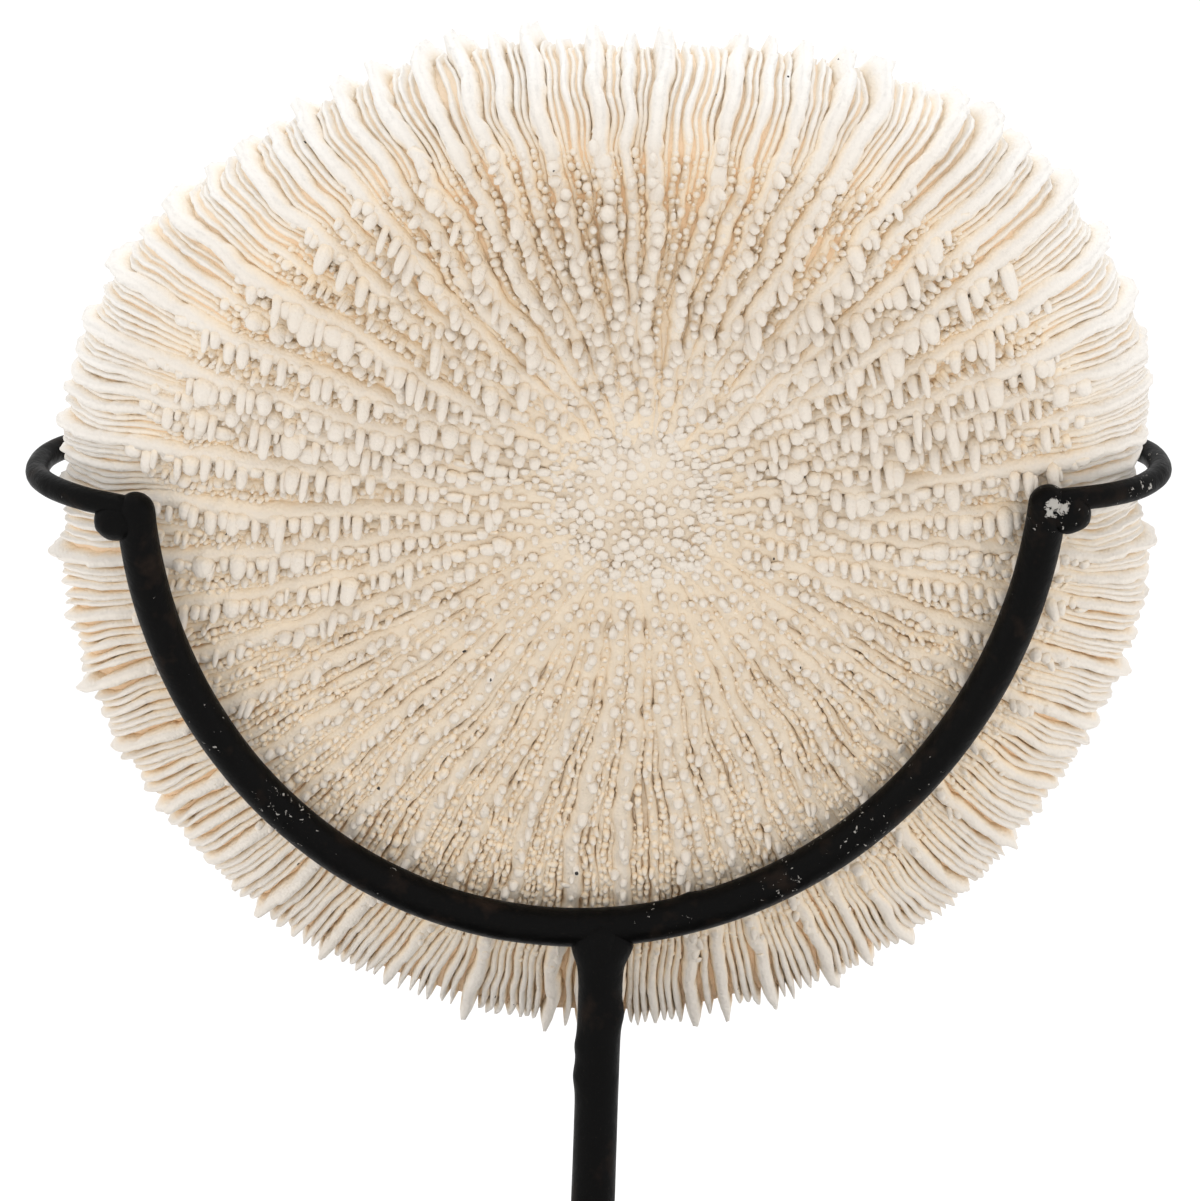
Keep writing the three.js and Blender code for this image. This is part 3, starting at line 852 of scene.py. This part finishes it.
# %% Ends and curves of a rod
def rounded_ends(path, radius, rings=6):
    """The path drawn out by one radius at each end, and how wide each ring is: there a quarter circle, whose last
    ring would be the path's own end point again and is left out."""
    arc = np.linspace(0.08, 1, rings)[:-1] * math.pi / 2
    lift = np.sin(arc)
    away = radius * (1 - np.cos(arc))
    start_run, end_run = unit(path[1] - path[0]), unit(path[-1] - path[-2])
    first = path[0] + start_run * away[:, None] - start_run * radius
    last = (path[-1] - end_run * away[:, None] + end_run * radius)[::-1]
    wide = np.concatenate([lift, np.ones(len(path)), lift[::-1]])
    return np.concatenate([first, path, last]), wide


def smooth_route(stops, steps):
    """A smooth curve through given stops: between b and c, with neighbours a and d, it is
    b + ((c - a) f + (2a - 5b + 4c - d) f^2 + (3b - a - 3c + d) f^3) / 2."""
    stops = np.asarray(stops, float)
    padded = np.concatenate([2 * stops[:1] - stops[1:2], stops, 2 * stops[-1:] - stops[-2:-1]])
    place = np.linspace(0, len(stops) - 1 - 1e-6, steps)
    k = place.astype(int)
    f = (place - k)[:, None]
    a, b, c, d = (padded[k + step] for step in range(4))
    return b + ((c - a) * f + (2 * a - 5 * b + 4 * c - d) * f**2 + (3 * b - a - 3 * c + d) * f**3) / 2


# %% Routes of the rods
CRADLE_RADIUS, HOOK_RADIUS, POST_RADIUS = 2.68, 1.62, 3.0
HALF_WIDTH, HALF_HEIGHT, ROLL = 61.4, 70.7, math.radians(-5.4)


def cradle_route(first, last, steps):
    """The lower half of a rolled ellipse in the leaning plane, from one angle to another."""
    angle = np.linspace(math.radians(first), math.radians(last), steps)
    wide, high = HALF_WIDTH * np.cos(angle), HALF_HEIGHT * np.sin(angle)
    across = 1.4 + wide * math.cos(ROLL) - high * math.sin(ROLL)
    up = 70.3 + wide * math.sin(ROLL) + high * math.cos(ROLL)
    return leaning(np.array([0.0, 0.0, 85.0]), across, up, 0 * up)


cradle_path = cradle_route(-169.2, -0.5, 220)
cradle_ends = cradle_path[[0, -1]]
LEFT_HOOK = [(2.0, 0.8, 0), (7.0, 0.8, 2.4), (11.6, 0.4, 7), (13.8, -0.3, 12.6), (13.2, -0.7, 18.4), (10.6, -1, 22.6),
             (7.6, -1.2, 24.4)]
RIGHT_HOOK = [(2.0, 0.6, 0), (8, 0.3, 2.2), (12.8, -0.4, 6.4), (15.6, -1, 12.2), (15, -1.4, 18), (12.4, -1.7, 21.8),
              (9.6, -1.8, 23.6)]


def hook_route(end, side, stops):
    """Hook stops (outwards, up, back) from a cradle end, mirrored for the left side."""
    stops = np.array(stops, float)
    return smooth_route(leaning(end, side * stops[:, 0], stops[:, 1], stops[:, 2]), 90)


left_path = hook_route(cradle_ends[0], -1, LEFT_HOOK)
right_path = hook_route(cradle_ends[1], 1, RIGHT_HOOK)
post_top = np.array([2.7, 0.0, 84.6])
post_foot = np.array([0.0, 0.0, node_box("base_plate")[1][2]])
post_path = post_foot + (post_top - post_foot) * np.linspace(0, 0.985, 160)[:, None]

# %% [markdown]
# ## Black paint
#
# Brushed-on paint over iron: nearly black, with faint brown patches, a slightly lumpy skin, and small pale chips
# where the stand was knocked. `wear` marks the stretches that were knocked most, and `bare` the spot of
# filed metal at the right-hand weld.

# %% Paint material
PAINT = (0.0024, 0.0023, 0.0022)
CHIP = (0.42, 0.40, 0.37)
RUST = (0.03, 0.018, 0.012)


def paint_material():
    """Black paint. Chips show where scuffs + 0.12 * wear > 0.765, bare metal where bare + 2 * scuffs > 1.75."""
    material, shader, place = new_material("black paint on iron")
    link = material.node_tree.links.new
    wear, bare = attribute(material, "wear"), attribute(material, "bare")
    scuffs = noise(material, place, 1.1, 5.0, 0.7, 0.6)
    chips = sums(material, "GREATER_THAN", sums(material, "ADD", scuffs, sums(material, "MULTIPLY", wear, 0.12)), 0.765)
    metal = sums(material, "GREATER_THAN", sums(material, "ADD", bare, sums(material, "MULTIPLY", scuffs, 2.0)), 1.75)
    worn = sums(material, "MAXIMUM", chips, metal)
    brown = ramp(material, noise(material, place, 6.0, 3.0, 0.6), [(0.55, PAINT), (0.9, RUST)])
    colour = mixed(material, worn, brown, CHIP)
    link(colour, shader.inputs["Base Color"])
    link(sums(material, "MULTIPLY", metal, 0.9), shader.inputs["Metallic"])
    link(ramp(material, noise(material, place, 3.0, 4.0, 0.6), [(0.3, 0.34), (0.7, 0.55)]), shader.inputs["Roughness"])
    shader.inputs["Specular IOR Level"].default_value = 0.06
    skin = sums(material, "ADD", noise(material, place, 1.6, 3.0, 0.6), sums(material, "MULTIPLY", worn, -0.3))
    bumped(material, shader, skin, 0.16)
    return material


stand_paint = paint_material()
print("paint material nodes:", len(stand_paint.node_tree.nodes))


def near(points, spots):
    """The sum over spots (centre, reach, strength) of strength * exp(-(distance / reach)^2)."""
    total = np.zeros(points.shape[:-1])
    for centre, reach, strength in spots:
        total += strength * np.exp(-(np.linalg.norm(points - np.array(centre), axis=-1) / reach) ** 2)
    return total


# %% Cradle, hooks and post
def along(path, share):
    """The point at a share of a path's points."""
    return path[int(share * (len(path) - 1))]


bare_spot = cradle_ends[1] + (1.2, -2.6, -0.6)
KNOCKS = [(along(cradle_path, s), reach, strength) for s, reach, strength in (
    (0.17, 5.0, 1.0), (0.25, 6.0, 1.2), (0.35, 3.5, 1.0), (0.57, 6.0, 0.9), (0.66, 6.0, 1.0), (0.73, 6.0, 1.1),
    (0.79, 4.0, 0.9), (1.0, 8.0, 0.8))]
KNOCKS += [
    (along(left_path, 0.42), 2.5, 1.1), (along(right_path, 0.3), 3.5, 1.4), (along(right_path, 0.6), 2.5, 1.0)]


def stand_numbers(points):
    """wear and bare for the paint."""
    return {"wear": 0.25 + near(points, KNOCKS), "bare": near(points, [(bare_spot, 2.4, 1.0)])}


def rod_piece(name, path, radius, around, seed, stands_for, bumps=(), level=BACK):
    """A rounded rod. bumps are (centre, reach, height) of blobs of weld spatter or thick paint."""
    long_path, wide = rounded_ends(path, radius)
    rings = rod_rings(long_path, radius, around, 0.012, seed, level)
    rings = long_path[:, None] + (rings - long_path[:, None]) * wide[:, None, None]
    outward = unit(rings - long_path[:, None])
    rings = rings + outward * near(rings, bumps)[..., None]
    rings = rings[None]
    return tubes_piece(name, rings, stand_paint, stand_numbers(rings), stands_for=stands_for)


cradle_bumps = [(along(cradle_path, 0.58) + UP * 2.3, 1.4, 0.5)]
rod_piece("cradle_rod", cradle_path, CRADLE_RADIUS, 28, 201, ("cradle",), cradle_bumps)
rod_piece("left_hook_rod", left_path, HOOK_RADIUS, 20, 202, ("left_hook",), level=UP)
rod_piece("right_hook_rod", right_path, HOOK_RADIUS, 20, 203, ("right_hook",), level=UP)
post_bumps = [((-1.2, -1.5, 68.6), 1.6, 0.5), ((-1.6, -1.0, 64.5), 1.8, 0.5), ((5.2, -1.0, 73.0), 1.8, 0.5)]
rod_piece("post_rod", post_path, POST_RADIUS, 28, 204, ("post",), post_bumps)


# %% Weld beads
def bead_piece(name, centre, axis, profile, seed, stands_for, rough=0.1):
    """A lump of weld metal. Each (height, half width, half thickness) of the profile is one oval ring round axis:
    centre + axis * height + side * half width * cos a + front * half thickness * sin a."""
    profile = smooth_route(profile, 26)
    axis = unit(np.asarray(axis, float))
    front = unit(np.cross(axis, ACROSS) + 1e-6 * BACK)
    side = np.cross(front, axis)
    if abs(axis[0]) > 0.9:  # the axis runs across, so axis x ACROSS has no direction
        front, side = UP, BACK
    turn = 2 * math.pi * np.arange(28) / 28
    spoke = (side * profile[:, 1, None, None] * np.cos(turn)[None, :, None]
             + front * profile[:, 2, None, None] * np.sin(turn)[None, :, None])
    points = np.asarray(centre) + (axis * profile[:, :1])[:, None] + spoke
    path = points.mean(1, keepdims=True)
    points = path + (points - path) * (1 + rough * lumps(points, 1.8, seed))[..., None]
    points = points[None]
    return tubes_piece(name, points, stand_paint, stand_numbers(points), stands_for=stands_for)


post_axis = post_top - post_foot
fillet = [(-11.0, 2.6, 2.6), (-9.0, 2.98, 2.98), (-6.8, 3.12, 3.08), (-5.0, 3.4, 3.02), (-3.8, 3.85, 2.92),
          (-2.9, 4.2, 2.82), (-2.2, 4.35, 2.72), (-1.2, 4.0, 2.6), (0.0, 3.3, 2.48), (0.8, 2.4, 2.0), (1.5, 1.4, 1.2)]
bead_piece("post_weld_bead", post_top, post_axis, fillet, 211, ("post_weld",), 0.05)
foot = [(-0.2, 5.6, 5.6), (0.8, 5.0, 5.0), (1.8, 3.9, 3.9), (3.0, 3.2, 3.2), (3.4, 2.6, 2.6)]
bead_piece("base_weld_bead", post_foot, post_axis, foot, 212, ("base_weld",))
left_bead = leaning(cradle_ends[0], -2.5, -1.3, 0.0)
right_bead = leaning(cradle_ends[1], 2.7, -1.4, 0.0)
ball = [(h, r, r) for h, r in ((-3.1, 0.3), (-2.8, 1.4), (-1.6, 2.4), (0.0, 2.75), (1.6, 2.4), (2.8, 1.4), (3.1, 0.3))]
bead_piece("left_weld_bead", left_bead, ACROSS, ball, 213, ("left_weld",))
bead_piece("right_weld_bead", right_bead, ACROSS, ball, 214, ("right_weld",))

# %% [markdown]
# ## Base plate
#
# A plain slab of iron with rounded corners and softened edges. Its outline is a rounded rectangle; the rings go
# up its side, drawn in by a quarter circle at the lower and upper edge.

# %% Base plate
plate_low, plate_high = node_box("base_plate")
plate_half = (plate_high - plate_low)[:2] / 2
CORNER, SOFT = 7.0, 0.8


def slab_outline(half, corner, around):
    """Points of a rounded rectangle: quarter circles round the four inner corners."""
    angle = (np.arange(around) + 0.5) * 2 * math.pi / around
    quarter = np.floor(angle / (math.pi / 2)).astype(int)
    signs = np.array([(1, 1), (-1, 1), (-1, -1), (1, -1)])[quarter]
    return signs * (half - corner), np.stack([np.cos(angle), np.sin(angle)], -1)


inner, outward = slab_outline(plate_half, CORNER, 96)
bend = np.linspace(0, math.pi / 2, 5)
heights = np.concatenate([SOFT * (1 - np.sin(bend[::-1])), (plate_high - plate_low)[2] - SOFT * (1 - np.sin(bend))])
drawn_in = np.concatenate([SOFT * (1 - np.cos(bend[::-1])), SOFT * (1 - np.cos(bend))])
slab = np.zeros((len(heights), 96, 3))
slab[..., :2] = inner[None] + outward[None] * (CORNER - drawn_in)[:, None, None]
slab[..., 2] = plate_low[2] + heights[:, None]
slab[..., :2] += (plate_low + plate_high)[:2] / 2
slab = slab[None]
tubes_piece("base_slab", slab, stand_paint, stand_numbers(slab), sharp=30, stands_for=("base_plate",))

# %% [markdown]
# ## Floor finish
#
# Plain and pale, so that it takes nothing away from the object.


# %% Floor material
def floor_material():
    """One pale matt colour."""
    material, shader, _ = new_material("pale floor")
    shader.inputs["Base Color"].default_value = (0.97, 0.97, 0.97, 1.0)
    shader.inputs["Roughness"].default_value = 0.9
    return material


floor_mesh.materials.append(floor_material())
